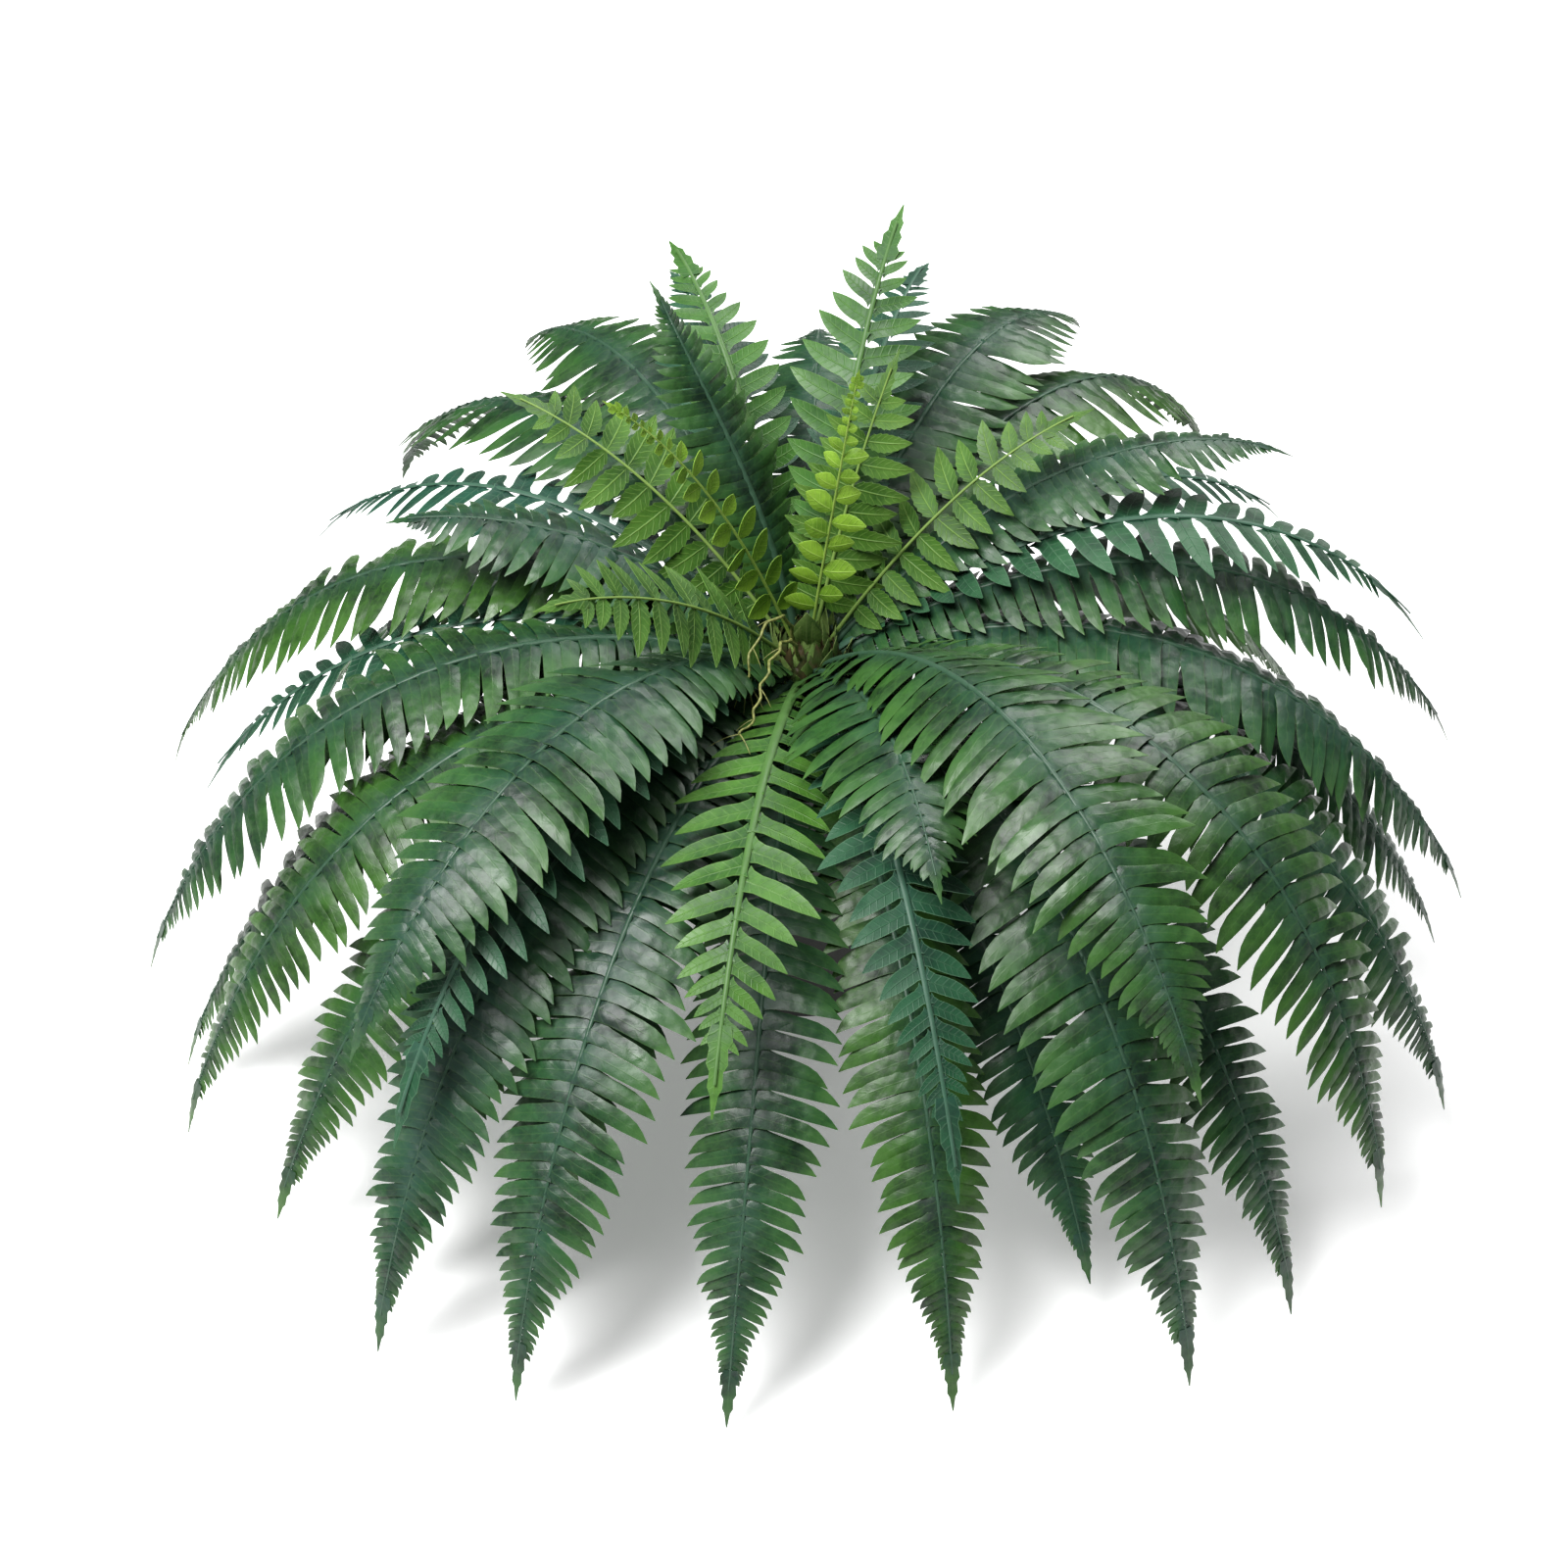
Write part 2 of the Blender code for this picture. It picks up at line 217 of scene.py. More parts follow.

# %% [markdown]
# ## Leaf finish
# The leaves are pressed cloth with a wax coat. Their colour is never even: blotches of deep and mid
# green, a paler edge and tip, a dusty bloom that greys the older fronds, and a pressed vein down
# each leaflet with side veins. The UV map runs along a leaflet (U) and across it (V), and three
# attributes give each leaflet and each frond its own chance tint and mark the midrib.

# %% Mix the leaf finish
def leaf_material(name, deep, cool, warm, pale, bloom, look):
    material, tree, shader, where = new_material(name)
    uv = add_node(tree, "SeparateXYZ", {"Vector": add_node(tree, "UVMap").outputs["UV"]})
    outwards, across = uv.outputs["X"], uv.outputs["Y"]
    leaflet = attribute(tree, "leaflet_tint")
    frond = attribute(tree, "frond_tint")
    off_middle = maths(tree, "ABSOLUTE", maths(tree, "SUBTRACT", across, 0.5))

    # body: blotches of deep green in a mid green that runs from cool to warm, frond by frond
    blotches = noise(tree, where, 30.0, 5.0, 0.66)
    speckle = noise(tree, where, 420.0, 3.0, 0.7)
    drift = maths(tree, "ADD", blotches, times(tree, leaflet, 0.16))
    drift = maths(tree, "ADD", drift, times(tree, speckle, 0.34))
    drift = maths(tree, "ADD", drift, times(tree, outwards, look["edge_lift"]))
    mid = blend_colours(tree, frond, cool, warm)
    colour = blend_colours(tree, ramp(tree, drift, look["deep_until"], look["mid_from"]), deep, mid)

    # outer ends: paler and yellower in patches
    patches = ramp(tree, blotches, 0.32, 0.60)
    end_patch = times(tree, maths(tree, "POWER", outwards, 1.8), patches)
    colour = blend_colours(tree, times(tree, end_patch, look["pale_ends"]), colour, pale)

    # bloom: a dusty blue-grey band beside the midrib, and clouds of it on the older fronds
    beside_rib = maths(tree, "SUBTRACT", 1.0, ramp(tree, outwards, 0.02, look["band"]))
    beside_rib = times(tree, beside_rib, ramp(tree, blotches, 0.25, 0.62))
    cloud = ramp(tree, noise(tree, where, 5.0, 3.0), 0.44, 0.66)
    older = maths(tree, "SUBTRACT", 1.0, frond)
    dusty = times(tree, older, times(tree, cloud, 0.6))
    dusty = maths(tree, "ADD", dusty, beside_rib)
    dusty = times(tree, dusty, look["bloom"])
    rib_dust = times(tree, attribute(tree, "midrib"), look["rib_bloom"])
    dusty = maths(tree, "ADD", dusty, rib_dust)
    colour = blend_colours(tree, maths(tree, "MINIMUM", dusty, 1.0), colour, bloom)

    # veins: one down the middle, fine ones slanting to the edge, and a pale cut margin
    middle_line = maths(tree, "SUBTRACT", 1.0, ramp(tree, off_middle, 0.010, 0.045))
    slant = maths(tree, "SUBTRACT", times(tree, outwards, look["side_veins"]),
                  times(tree, off_middle, look["vein_slant"]))
    waves = maths(tree, "SINE", times(tree, slant, math.tau))
    side_lines = ramp(tree, waves, 0.78, 1.0)
    veins = maths(tree, "MAXIMUM", middle_line, times(tree, side_lines, 0.45))
    colour = blend_colours(tree, times(tree, veins, look["vein"]), colour, pale)
    margin = times(tree, ramp(tree, off_middle, 0.455, 0.50), look["pale_edge"])
    colour = blend_colours(tree, margin, colour, pale)

    # gloss in patches, and relief: pressed dimples, raised veins and the weave of the cloth
    rough = ramp(tree, noise(tree, where, 38.0, 4.0), 0.3, 0.7, look["gloss"], look["matte"])
    relief = bump(tree, noise(tree, where, 70.0, 1.5, 0.4), 0.0040, look["dimples"])
    relief = bump(tree, veins, 0.0005, look["vein_relief"], over=relief)
    relief = bump(tree, noise(tree, where, 900.0, 1.0, 0.5), 0.00012, 0.6, over=relief)
    feed(tree, shader, {"Base Color": colour, "Roughness": rough, "Normal": relief,
                        "Specular IOR Level": look["shine"]})
    return material


BROAD_LOOK = {
    "deep_until": 0.62, "mid_from": 0.98, "edge_lift": 0.22, "pale_ends": 0.55, "pale_edge": 0.25,
    "band": 0.42, "bloom": 0.66, "rib_bloom": 0.85,
    "vein": 0.14, "side_veins": 5.0, "vein_slant": 1.4, "vein_relief": 0.15, "dimples": 0.62,
    "gloss": 0.32, "matte": 0.56, "shine": 0.36,
}
STRAP_LOOK = {
    **BROAD_LOOK, "pale_ends": 0.25, "pale_edge": 0.80, "band": 0.25, "bloom": 0.40, "rib_bloom": 0.30,
    "vein": 0.30, "side_veins": 9.0, "vein_relief": 0.7, "dimples": 0.25, "gloss": 0.42, "matte": 0.62,
}
LIGHT_LOOK = {**STRAP_LOOK, "bloom": 0.15, "pale_edge": 0.50}
SPRAY_LOOK = {
    **STRAP_LOOK, "pale_edge": 0.20, "bloom": 0.05, "rib_bloom": 0.90, "vein": 0.62,
    "side_veins": 7.0, "vein_slant": 2.6, "dimples": 0.30, "gloss": 0.48, "matte": 0.68,
}
# each finish: deep green, cool and warm mid green, pale ends, bloom on and beside the midrib
LEAF_FINISH = {
    "broad": leaf_material(
        "broad_leaf", (0.002, 0.011, 0.004), (0.008, 0.053, 0.019), (0.022, 0.080, 0.008),
        (0.072, 0.160, 0.030), (0.018, 0.050, 0.038), BROAD_LOOK),
    "strap": leaf_material(
        "strap_leaf", (0.003, 0.022, 0.011), (0.006, 0.056, 0.032), (0.010, 0.070, 0.020),
        (0.070, 0.170, 0.090), (0.020, 0.060, 0.050), STRAP_LOOK),
    "light": leaf_material(
        "light_leaf", (0.010, 0.052, 0.006), (0.030, 0.112, 0.018), (0.048, 0.140, 0.013),
        (0.125, 0.250, 0.050), (0.036, 0.090, 0.040), LIGHT_LOOK),
    "leaflet": leaf_material(
        "leaflet_leaf", (0.012, 0.050, 0.003), (0.034, 0.112, 0.010), (0.056, 0.140, 0.010),
        (0.180, 0.310, 0.060), (0.100, 0.130, 0.030), SPRAY_LOOK),
    "button": leaf_material(
        "button_leaf", (0.080, 0.190, 0.008), (0.190, 0.370, 0.022), (0.240, 0.410, 0.025),
        (0.330, 0.500, 0.090), (0.130, 0.190, 0.030), SPRAY_LOOK),
}
print("leaf finishes:", ", ".join(sorted(LEAF_FINISH)))

# %% [markdown]
# ## One leaflet of each kind
# A leaflet starts as a flat grid one metre long. In edit mode each cross row is picked in turn,
# squeezed to its width, and moved to its place: along the leaflet, towards the frond's tip, and up
# or down. The middle of a row is then lifted or sunk, which gives the pressed crown or crease, and
# a Solidify modifier gives the sheet its thickness.

# %% Shape a leaflet in edit mode
SHEET_THICKNESS = 0.0005


def select_in_edit_mode(edited, chosen):
    """Select just the vertices for which chosen(place) is true."""
    mesh_builder = bmesh.from_edit_mesh(edited.data)
    for vertex in mesh_builder.verts:
        vertex.select = chosen(vertex.co)
    mesh_builder.select_flush_mode()
    bmesh.update_edit_mesh(edited.data)


def shape_leaflet(name, rows):
    """Rows hold, in mm: place along, half width, shift to the tip, lift, lift of the middle."""
    count = len(rows) - 1
    deselect_all()
    bpy.ops.mesh.primitive_grid_add(x_subdivisions=count, y_subdivisions=2, size=1.0)
    leaflet = bpy.context.object
    leaflet.name = name
    outer_rows = [row for row in rows if row[0] > 0.3 * rows[-1][0]]
    leaflet["body_width"] = 2.0 * max(row[1] for row in outer_rows) / 1000.0
    bpy.ops.object.mode_set(mode="EDIT")
    bpy.ops.mesh.select_mode(type="VERT")
    starts = [index / count - 0.5 for index in range(count + 1)]
    for start, (along, half_width, forward, lift, middle) in reversed(list(zip(starts, rows))):
        select_in_edit_mode(leaflet, lambda co, at=start: abs(co.x - at) < 1e-4 and abs(co.z) < 1e-9)
        widening = (1.0, half_width / 500.0, 1.0)
        bpy.ops.transform.resize(value=widening, center_override=(start, 0.0, 0.0))
        select_in_edit_mode(leaflet, lambda co, at=start: abs(co.x - at) < 1e-4 and abs(co.y) < 1e-6)
        bpy.ops.transform.translate(value=(0.0, 0.0, middle / 1000.0))
        select_in_edit_mode(leaflet, lambda co, at=start: abs(co.x - at) < 1e-4)
        shift = (10.0 + along / 1000.0 - start, forward / 1000.0, lift / 1000.0)
        bpy.ops.transform.translate(value=shift)
    bpy.ops.mesh.select_all(action="SELECT")
    bpy.ops.transform.translate(value=(-10.0, 0.0, 0.0))
    bpy.ops.object.mode_set(mode="OBJECT")
    sheet = leaflet.modifiers.new("thickness", "SOLIDIFY")
    sheet.thickness = SHEET_THICKNESS
    sheet.offset = 0.0
    bpy.ops.object.modifier_apply(modifier=sheet.name)
    return leaflet


def take_template(leaflet):
    """Keep a shaped piece as arrays to copy from, and remove the object."""
    mesh = leaflet.data
    places = np.array([vertex.co for vertex in mesh.vertices])
    faces = [tuple(face.vertices) for face in mesh.polygons]
    uv = [(0.0, 0.5)] * len(mesh.loops)
    if "body_width" in leaflet:
        uv = [tuple(loop.uv) for loop in mesh.uv_layers.active.data]
    body_width = leaflet.get("body_width", 1.0)
    bpy.data.objects.remove(leaflet, do_unlink=True)
    return {"places": places, "faces": faces, "uv": uv, "body_width": body_width}


# %% [markdown]
# The broad fronds' leaflets are blunt straps whose points lean to the frond's tip, with three soft
# dimples pressed along each. The strap fronds' are longer and keep apart, with a crease down the
# middle. The sprays' leaflets are small toothed ovals, and the buttons are little fans. A fifth
# shape, a narrow blade with stepped sides, ends each frond.

# %% Shape the five leaflets
LEAFLET_SHAPES = {
    "broad": [
        (0, 14.0, 0.0, -0.4, 0.6), (5, 11.6, 0.0, 0.4, 2.8), (14, 9.7, 0.0, 0.7, 0.2),
        (23, 9.2, 0.2, 0.4, 2.8), (32, 9.2, 0.4, -0.5, 0.3), (41, 8.6, 1.0, -2.0, 2.1),
        (49, 6.8, 2.6, -3.7, 0.4), (55, 4.0, 5.2, -5.2, 0.6), (61, 0.3, 9.0, -6.8, 0.0)],
    "strap": [
        (0, 12.5, 0.0, -0.2, 0.0), (4, 9.4, 0.0, 0.1, -0.9), (11, 7.7, 0.1, 0.4, -1.2),
        (20, 8.1, 0.3, 0.5, -1.5), (29, 7.9, 0.8, 0.3, -1.5), (37, 7.0, 1.5, -0.3, -1.3),
        (45, 5.3, 2.6, -1.2, -1.0), (52, 2.9, 4.0, -2.3, -0.5), (58, 0.4, 5.6, -3.4, 0.0)],
    "leaflet": [
        (0, 1.2, 0.0, 0.0, 0.0), (3, 5.2, 0.0, 0.2, -0.8), (7, 8.8, 0.0, 0.6, -1.4),
        (8.6, 7.8, 0.2, 0.7, -1.0), (13, 10.3, 0.2, 0.8, -1.6), (14.6, 9.2, 0.4, 0.8, -1.1),
        (19, 10.4, 0.5, 0.7, -1.6), (20.6, 9.1, 0.8, 0.6, -1.1), (25, 9.2, 1.0, 0.3, -1.4),
        (26.6, 7.8, 1.4, 0.1, -0.9), (31, 7.2, 1.8, -0.3, -1.0), (32.6, 5.9, 2.2, -0.5, -0.6),
        (37, 4.3, 2.8, -1.1, -0.4), (44, 0.4, 4.4, -2.2, 0.0)],
    "button": [
        (0, 0.9, 0.0, 0.0, 0.0), (2, 4.6, 0.0, 0.4, -0.8), (6, 9.0, 0.2, 1.2, -2.2),
        (11, 10.4, 0.8, 1.5, -2.8), (15, 8.6, 1.4, 1.2, -2.2), (19, 4.9, 2.0, 0.6, -1.0),
        (22, 0.6, 2.4, 0.0, 0.0)],
    "tip": [
        (0, 4.2, 0.0, 0.0, 0.6), (8, 5.6, 0.0, 0.1, 0.9), (12, 3.9, 0.0, 0.1, 0.8),
        (20, 4.6, 0.0, 0.0, 0.8), (24, 2.9, 0.0, -0.2, 0.6), (32, 3.2, 0.0, -0.4, 0.6),
        (36, 1.7, 0.0, -0.7, 0.4), (48, 0.3, 0.0, -1.4, 0.0)],
}
TEMPLATES = {kind: take_template(shape_leaflet(f"{kind}_leaflet", rows))
             for kind, rows in LEAFLET_SHAPES.items()}
for kind, template in TEMPLATES.items():
    long, broad, deep = np.ptp(template["places"], axis=0) * 1000.0
    print(f"{kind} leaflet: {len(template['faces'])} faces, {long:.0f} x {broad:.0f} x {deep:.1f} mm")

# %% [markdown]
# ## The midrib
# A midrib is a thin tapering rod. It starts as an eight-sided cylinder one metre long, laid along
# X, cut into short lengths by bisecting it, and it is stretched and bent with its frond later.

# %% Model a straight midrib
RIB_CUTS = 44
RIB_SIDES = 8


def straight_rib():
    deselect_all()
    bpy.ops.mesh.primitive_cylinder_add(
        vertices=RIB_SIDES, radius=1.0, depth=1.0, rotation=(0.0, math.pi / 2, 0.0))
    rib = bpy.context.object
    bpy.ops.object.transform_apply(location=True, rotation=True, scale=True)
    bpy.ops.object.mode_set(mode="EDIT")
    for cut in range(1, RIB_CUTS):
        bpy.ops.mesh.select_all(action="SELECT")
        bpy.ops.mesh.bisect(plane_co=(cut / RIB_CUTS - 0.5, 0.0, 0.0), plane_no=(1.0, 0.0, 0.0))
    bpy.ops.mesh.select_all(action="SELECT")
    bpy.ops.transform.translate(value=(0.5, 0.0, 0.0))
    bpy.ops.object.mode_set(mode="OBJECT")
    return rib


RIB = take_template(straight_rib())
print("midrib:", len(RIB["faces"]), "faces")

# %% [markdown]
# ## Reading a frond's curve
# A packed frond is a thin solid of four corners to a station: one edge, the midrib's top, the other
# edge, the midrib's underside. Starting from the four corners nearest the crown and stepping to
# their neighbours gives the stations in order, and so the curve, the half width and the side
# direction at each.

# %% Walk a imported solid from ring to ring
def rings_of(node, corners):
    """The solid's cross-section rings in order from the crown, each as an array of corner places."""
    walker = bmesh.new()
    walker.from_mesh(NODES[node].data)
    bmesh.ops.remove_doubles(walker, verts=walker.verts, dist=1e-6)
    waiting = sorted(walker.verts, key=lambda vertex: (vertex.co - CROWN_CENTRE).length)[:corners]
    seen = set(waiting)
    rings = []
    while waiting:
        rings.append(np.array([vertex.co for vertex in waiting]))
        following = {edge.other_vert(vertex) for vertex in waiting for edge in vertex.link_edges} - seen
        seen |= following
        waiting = list(following)
    walker.free()
    return rings


def frond_course(node):
    """Centre line, side direction, half width and length of a packed frond."""
    rings = [ring for ring in rings_of(node, 4) if len(ring) == 4]
    spreads = [widest_pair(ring) for ring in rings]
    broadest = max(spreads, key=lambda spread: spread["width"])["across"]
    centres, half_widths = [], []
    for ring in rings:
        off_side = np.abs((ring - ring.mean(axis=0)) @ broadest)
        middle = np.argsort(off_side)[:2]
        centres.append(ring[middle].mean(axis=0))
        half_widths.append(off_side.max())
    outward = (centres[-1] - centres[0]) * (1.0, 1.0, 0.0)
    outward /= np.linalg.norm(outward)
    side = np.array((-outward[1], outward[0], 0.0))
    if broadest @ side < 0.0:
        broadest = -broadest
    return smooth_course(np.array(centres), np.array(half_widths), side, broadest)


def widest_pair(ring):
    """The two corners of a ring that stand farthest apart: their distance and direction."""
    gaps = [(np.linalg.norm(b - a), a, b) for index, a in enumerate(ring) for b in ring[index + 1:]]
    width, a, b = max(gaps, key=lambda gap: gap[0])
    return {"width": width, "across": (b - a) / width}


def smooth_course(centres, half_widths, side, broadest=None, finer=6):
    """Fill in a Catmull-Rom curve between the stations, and measure along it."""
    padded = np.vstack([2 * centres[0] - centres[1], centres, 2 * centres[-1] - centres[-2]])
    t = np.linspace(0.0, 1.0, finer, endpoint=False)[:, None]
    pieces = []
    for p0, p1, p2, p3 in zip(padded, padded[1:], padded[2:], padded[3:]):
        pieces.append(0.5 * (2 * p1 + (p2 - p0) * t + (2 * p0 - 5 * p1 + 4 * p2 - p3) * t ** 2
                             + (3 * p1 - p0 - 3 * p2 + p3) * t ** 3))
    fine = np.vstack(pieces + [centres[-1:]])
    steps = np.linalg.norm(np.diff(fine, axis=0), axis=1)
    travelled = np.concatenate([[0.0], np.cumsum(steps)])
    at_station = travelled[::finer]
    turn = 0.0
    if broadest is not None:
        ahead = fine[len(fine) // 2 + 1] - fine[len(fine) // 2]
        up = np.cross(ahead / np.linalg.norm(ahead), side)
        turn = math.atan2(broadest @ up, broadest @ side)
    return {"points": fine, "travelled": travelled, "length": travelled[-1], "side": side, "turn": turn,
            "half_width": np.interp(travelled, at_station, half_widths)}


# %% [markdown]
# ## Bending a flat frond
# A flat frond lies along X with its sides along Y. Bending it means: find the place on the curve
# for each point's X, go sideways by Y and up from the blade by Z. A small sway and a slow roll make
# each frond its own, as cloth fronds are never quite true.

# %% Lay flat points along a curve
def bend_along(course, flat, sway=0.0, roll=0.0, phase=0.0):
    travelled, points = course["travelled"], course["points"]
    along = flat[:, 0]
    centre = np.stack([np.interp(along, travelled, points[:, axis]) for axis in range(3)], axis=1)
    step = 0.004
    on_curve = np.clip(along, 0.0, travelled[-1])
    ahead, behind = np.minimum(on_curve + step, travelled[-1]), np.maximum(on_curve - step, 0.0)
    tangent = np.stack([np.interp(ahead, travelled, points[:, axis])
                        - np.interp(behind, travelled, points[:, axis]) for axis in range(3)], axis=1)
    tangent /= np.maximum(np.linalg.norm(tangent, axis=1), 1e-9)[:, None]
    over = np.maximum(along - travelled[-1], 0.0) + np.minimum(along, 0.0)
    centre = centre + tangent * over[:, None]
    side = np.broadcast_to(course["side"], centre.shape)
    up = np.cross(tangent, side)
    share = np.clip(along / travelled[-1], 0.0, 1.0)
    turn = course["turn"] + roll * np.sin(share * 2.6 + phase) * share
    across = side * np.cos(turn)[:, None] + up * np.sin(turn)[:, None]
    above = up * np.cos(turn)[:, None] - side * np.sin(turn)[:, None]
    drift = sway * share ** 1.5 * np.sin(share * 3.4 + phase)
    return centre + side * drift[:, None] + across * flat[:, 1:2] + above * flat[:, 2:3]


# %% [markdown]
# ## Putting a frond together
# Leaflets are laid in pairs down the flat frond. Each is scaled to reach the frond's edge, leans
# towards the tip more and more, and is tilted, twisted and sized a little by chance, which opens
# the thin slits that let light through.

# %% Collect pieces into one mesh
def hand_over(piece, node):
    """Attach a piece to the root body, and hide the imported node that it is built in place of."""
    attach(piece, "root")
    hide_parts(node)


class Gathered:
    """Vertices, faces, UVs and point attributes of many small pieces that become one mesh."""

    def __init__(self):
        self.places, self.faces, self.uv = [], [], []
        self.values = {"leaflet_tint": [], "frond_tint": [], "midrib": []}
        self.count = 0

    def add(self, template, places, leaflet_tint, frond_tint, midrib=0.0, flip=False):
        corner = 0
        for face in template["faces"]:
            order = list(range(len(face)))
            if flip:
                order.reverse()
            self.faces.append([face[index] + self.count for index in order])
            self.uv.extend(template["uv"][corner + index] for index in order)
            corner += len(face)
        self.places.append(places)
        self.count += len(places)
        said = {"leaflet_tint": leaflet_tint, "frond_tint": frond_tint, "midrib": midrib}
        for name, value in said.items():
            self.values[name].append(np.full(len(places), value, np.float32))

    def build(self, name, material, node):
        mesh = bpy.data.meshes.new(name)
        mesh.from_pydata(np.concatenate(self.places).tolist(), [], self.faces)
        layer = mesh.uv_layers.new(name="UVMap")
        layer.data.foreach_set("uv", np.array(self.uv, np.float32).ravel())
        for value_name, values in self.values.items():
            made = mesh.attributes.new(value_name, "FLOAT", "POINT")
            made.data.foreach_set("value", np.concatenate(values))
        mesh.shade_smooth()
        mesh.set_sharp_from_angle(angle=math.radians(65.0))
        mesh.materials.append(material)
        piece = bpy.data.objects.new(name, mesh)
        bpy.context.scene.collection.objects.link(piece)
        hand_over(piece, node)


def lay_leaflet(template, at, reach, breadth, lean, side, tilt, twist):
    """Place one leaflet on the flat frond. Side is +1 or -1; lean 0 points straight out."""
    length = template["places"][:, 0].max()
    width = template["body_width"]
    x = template["places"][:, 0] / length * reach
    y = template["places"][:, 1] / width * breadth
    z = template["places"][:, 2] * min(1.0, reach / length)
    z, y = z + y * math.sin(twist), y * math.cos(twist)
    z, x = z + x * math.sin(tilt), x * math.cos(tilt)
    along = at + x * math.sin(lean) + y * math.cos(lean)
    across = side * (x * math.cos(lean) - y * math.sin(lean))
    return np.stack([along, across, z], axis=1)


def lay_rib(start, end, root_width, tip_width, root_depth, tip_depth, lift=0.0):
    """The straight rib stretched from start to end, tapering in width and depth."""
    share = RIB["places"][:, 0]
    width = root_width + (tip_width - root_width) * share
    depth = root_depth + (tip_depth - root_depth) * share
    return np.stack([start + (end - start) * share, RIB["places"][:, 1] * width,
                     RIB["places"][:, 2] * depth + lift], axis=1)


# %% [markdown]
# The four kinds differ only in numbers: how far apart the leaflets stand, how wide they are for
# that distance, whether they stand in pairs or take turns, and how much they lean.

# %% Grow a frond on a packed curve
FROND_KINDS = {
    "broad": {
        "leaflet": "broad", "pitch": 0.0154, "fill": 0.97, "lean": (0.08, 0.22, 0.66), "paired": True,
        "rib": (0.0036, 0.0006), "depth": (0.0026, 0.0005), "tilt": -0.12, "twist": 0.10,
        "scatter": 0.055, "reach": 1.13, "start": 0.02, "bare_end": 0.055, "tip_width": 0.011,
        "foot": ((0.0, 0.05, 0.12, 0.20, 0.3), (0.16, 0.36, 0.50, 0.62, 0.0))},
    "strap": {
        "leaflet": "strap", "pitch": 0.0240, "fill": 0.70, "lean": (0.12, 0.34, 0.80), "paired": False,
        "rib": (0.0042, 0.0012), "depth": (0.0018, 0.0006), "tilt": -0.06, "twist": 0.05,
        "scatter": 0.060, "reach": 1.12, "start": 0.07, "bare_end": 0.12, "tip_width": 0.015,
        "foot": ((0.05, 0.14, 0.24, 0.3), (0.12, 0.50, 0.70, 0.0))},
    "leaflet": {
        "leaflet": "leaflet", "pitch": 0.0205, "fill": 1.04, "lean": (0.02, 0.12, 0.50), "paired": True,
        "rib": (0.0017, 0.0007), "depth": (0.0016, 0.0006), "tilt": -0.05, "twist": 0.08,
        "scatter": 0.09, "reach": 1.14, "start": 0.12, "bare_end": 0.12, "tip_width": 0.018,
        "foot": ((0.1, 0.2, 0.36, 0.4), (0.60, 0.86, 1.00, 0.0))},
    "button": {
        "leaflet": "button", "pitch": 0.0260, "fill": 0.78, "lean": (0.05, 0.35, 0.95), "paired": False,
        "rib": (0.0014, 0.0006), "depth": (0.0013, 0.0006), "tilt": 0.05, "twist": 0.20,
        "scatter": 0.12, "reach": 1.00, "start": 0.13, "bare_end": 0.02, "tip_width": 0.006,
        "foot": ((0.0, 0.12, 0.36, 0.4), (0.8, 1.0, 1.0, 0.0))},
}
TIP_OVERLAP = 0.006
TIP_TILT = -0.05
RIB_SUNK = 0.008
RIB_END_SHARE = 0.96
RIB_LIFT = 0.0004
LEAST_REACH = 0.005
chance = np.random.default_rng(20)


def between(low=0.0, high=1.0):
    return float(chance.uniform(low, high))


def stray(spread):
    """A small chance error either way, of this usual size."""
    return float(chance.normal(0.0, spread))


def lean_at(share, leans):
    """Lean of a leaflet by its share of the length: at the foot, at two thirds and at the tip."""
    foot, middle, tip = leans
    return float(np.interp(share, (0.0, 0.66, 1.0), (foot, middle, tip)))


